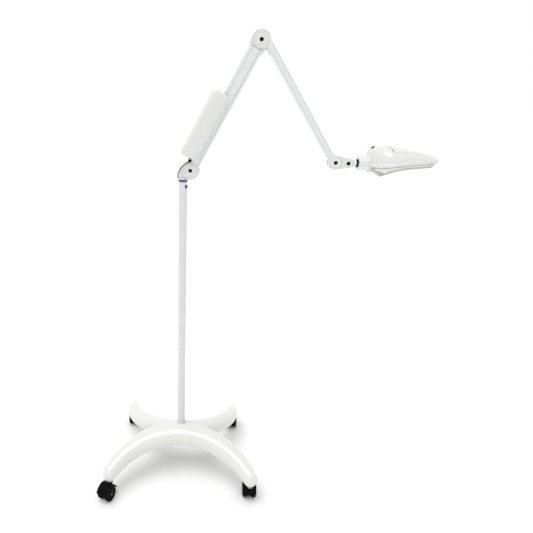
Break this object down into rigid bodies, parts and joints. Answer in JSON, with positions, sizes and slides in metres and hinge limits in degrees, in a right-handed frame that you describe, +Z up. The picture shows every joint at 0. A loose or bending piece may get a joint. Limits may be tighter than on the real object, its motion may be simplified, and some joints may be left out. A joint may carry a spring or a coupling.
{
  "type": "magnifying lamp on a rolling stand",
  "caption": "Rolling floor-standing magnifying lamp: four-legged bowed base on casters, pole, two-part folding arm and a tilting lens head with a hinged cover.",
  "frame": {"origin": "on the floor, under the middle of the lamp's box", "axes": "+Z up; +X from the pole towards the head; -Y is the near side, the one with the round joint caps"},
  "size_m": [0.9946, 0.4575, 1.4522],
  "materials": {
    "white_metal": "gloss",
    "white_alloy": "gloss",
    "white_plastic": "gloss",
    "grey_metal": "satin",
    "cast_iron": "matte",
    "bright_steel": "satin",
    "blue_plastic": "satin",
    "black_plastic": "matte",
    "black_rubber": "matte",
    "clear_glass": "polished",
    "milky_plastic": "satin"
  },
  "bodies": {
    "stand": {"base_casting": "white_metal", "base_weight": "cast_iron", "pole_bolt": "bright_steel", "pole_foot_plug": "cast_iron", "pole_collar": "grey_metal", "pole_tube": "grey_metal", "pole_bush": "blue_plastic", "bush_grub_screw": "black_plastic"},
    "front_left_caster": {"front_left_caster_fork": "black_plastic", "front_left_caster_axle": "bright_steel"},
    "front_left_wheel_near": {"front_left_wheel_near": "black_rubber"},
    "front_left_wheel_far": {"front_left_wheel_far": "black_rubber"},
    "front_right_caster": {"front_right_caster_fork": "black_plastic", "front_right_caster_axle": "bright_steel"},
    "front_right_wheel_near": {"front_right_wheel_near": "black_rubber"},
    "front_right_wheel_far": {"front_right_wheel_far": "black_rubber"},
    "rear_left_caster": {"rear_left_caster_fork": "black_plastic", "rear_left_caster_axle": "bright_steel"},
    "rear_left_wheel_near": {"rear_left_wheel_near": "black_rubber"},
    "rear_left_wheel_far": {"rear_left_wheel_far": "black_rubber"},
    "rear_right_caster": {"rear_right_caster_fork": "black_plastic", "rear_right_caster_axle": "bright_steel"},
    "rear_right_wheel_near": {"rear_right_wheel_near": "black_rubber"},
    "rear_right_wheel_far": {"rear_right_wheel_far": "black_rubber"},
    "bracket": {"shoulder_bracket": "white_alloy", "ballast_lead": "black_plastic"},
    "lower_arm": {"lower_arm": "white_alloy", "ballast_box_front": "white_plastic", "ballast_box_rear": "white_plastic", "ballast_unit": "cast_iron", "lead_gland": "black_plastic", "shoulder_pivot_screw": "black_plastic", "shoulder_cap": "white_plastic", "shoulder_washer_near": "black_plastic", "shoulder_washer_far": "black_plastic"},
    "upper_arm": {"upper_arm": "white_alloy", "elbow_pivot_screw": "black_plastic", "elbow_cap": "white_plastic", "elbow_washer_near": "black_plastic", "elbow_washer_far": "black_plastic"},
    "link": {"head_link": "white_alloy", "wrist_pivot_screw": "black_plastic", "wrist_cap": "white_plastic", "tilt_cap": "white_plastic", "tilt_pivot_screw": "black_plastic"},
    "tilt_eye": {"tilt_eye": "white_alloy", "swivel_washer": "black_rubber"},
    "head": {"neck_block": "white_alloy", "head_shell": "white_plastic", "cover_hinge_pin": "bright_steel", "reflector_pan": "white_alloy", "lens_ring": "white_plastic", "magnifier_lens": "clear_glass", "lamp_tube": "milky_plastic", "lamp_holder": "white_plastic", "lower_frame": "white_plastic", "light_diffuser": "milky_plastic"},
    "cover": {"lens_cover": "white_plastic"},
    "switch": {"power_switch": "black_plastic"}
  },
  "joints": [
    {"name": "front_left_swivel", "type": "hinge", "parent": "stand", "child": "front_left_caster", "pos_m": [-0.4574, -0.1753, 0.06], "axis": [0, 0, 1], "continuous": true},
    {"name": "front_left_near_spin", "type": "hinge", "parent": "front_left_caster", "child": "front_left_wheel_near", "pos_m": [-0.46553, -0.19357, 0.02462], "axis": [0.9135, -0.4067, 0], "continuous": true},
    {"name": "front_left_far_spin", "type": "hinge", "parent": "front_left_caster", "child": "front_left_wheel_far", "pos_m": [-0.46553, -0.19357, 0.02462], "axis": [0.9135, -0.4067, 0], "continuous": true},
    {"name": "front_right_swivel", "type": "hinge", "parent": "stand", "child": "front_right_caster", "pos_m": [0.0176, -0.1753, 0.06], "axis": [0, 0, 1], "continuous": true},
    {"name": "front_right_near_spin", "type": "hinge", "parent": "front_right_caster", "child": "front_right_wheel_near", "pos_m": [0.0183, -0.15531, 0.02462], "axis": [-0.9994, 0.0349, 0], "continuous": true},
    {"name": "front_right_far_spin", "type": "hinge", "parent": "front_right_caster", "child": "front_right_wheel_far", "pos_m": [0.0183, -0.15531, 0.02462], "axis": [-0.9994, 0.0349, 0], "continuous": true},
    {"name": "rear_left_swivel", "type": "hinge", "parent": "stand", "child": "rear_left_caster", "pos_m": [-0.4189, 0.1787, 0.06], "axis": [0, 0, 1], "continuous": true},
    {"name": "rear_left_near_spin", "type": "hinge", "parent": "rear_left_caster", "child": "rear_left_wheel_near", "pos_m": [-0.42029, 0.19865, 0.02462], "axis": [-0.9976, -0.0698, 0], "continuous": true},
    {"name": "rear_left_far_spin", "type": "hinge", "parent": "rear_left_caster", "child": "rear_left_wheel_far", "pos_m": [-0.42029, 0.19865, 0.02462], "axis": [-0.9976, -0.0698, 0], "continuous": true},
    {"name": "rear_right_swivel", "type": "hinge", "parent": "stand", "child": "rear_right_caster", "pos_m": [-0.0209, 0.1787, 0.06], "axis": [0, 0, 1], "continuous": true},
    {"name": "rear_right_near_spin", "type": "hinge", "parent": "rear_right_caster", "child": "rear_right_wheel_near", "pos_m": [-0.01951, 0.19865, 0.02462], "axis": [-0.9976, 0.0698, 0], "continuous": true},
    {"name": "rear_right_far_spin", "type": "hinge", "parent": "rear_right_caster", "child": "rear_right_wheel_far", "pos_m": [-0.01951, 0.19865, 0.02462], "axis": [-0.9976, 0.0698, 0], "continuous": true},
    {"name": "arm_pan", "type": "hinge", "parent": "stand", "child": "bracket", "pos_m": [-0.2199, -0.0083, 1.02], "axis": [0, 0, 1], "range_deg": [-160, 160]},
    {"name": "shoulder", "type": "hinge", "parent": "bracket", "child": "lower_arm", "pos_m": [-0.1985, -0.0083, 1.0806], "axis": [0, 1, 0], "range_deg": [-40, 30], "deforming": ["ballast_lead"]},
    {"name": "elbow", "type": "hinge", "parent": "lower_arm", "child": "upper_arm", "pos_m": [-0.01396, -0.0083, 1.42622], "axis": [0, 1, 0], "range_deg": [-70, 15]},
    {"name": "wrist", "type": "hinge", "parent": "upper_arm", "child": "link", "pos_m": [0.21778, -0.0083, 1.10609], "axis": [0, 1, 0], "range_deg": [-45, 60]},
    {"name": "tilt", "type": "hinge", "parent": "link", "child": "tilt_eye", "pos_m": [0.25422, -0.0083, 1.10399], "axis": [0, 1, 0], "range_deg": [-50, 45]},
    {"name": "head_swivel", "type": "hinge", "parent": "tilt_eye", "child": "head", "pos_m": [0.31312, -0.0083, 1.10399], "axis": [1, 0, 0], "range_deg": [-135, 135]},
    {"name": "cover_hinge", "type": "hinge", "parent": "head", "child": "cover", "pos_m": [0.35962, -0.0083, 1.14749], "axis": [0, -1, 0], "range_deg": [0, 100]},
    {"name": "switch_press", "type": "slide", "parent": "head", "child": "switch", "axis": [0.6157, 0, -0.788], "range_m": [0, 0.0015], "stiffness_N_per_m": 300, "springref_m": -0.002}
  ]
}
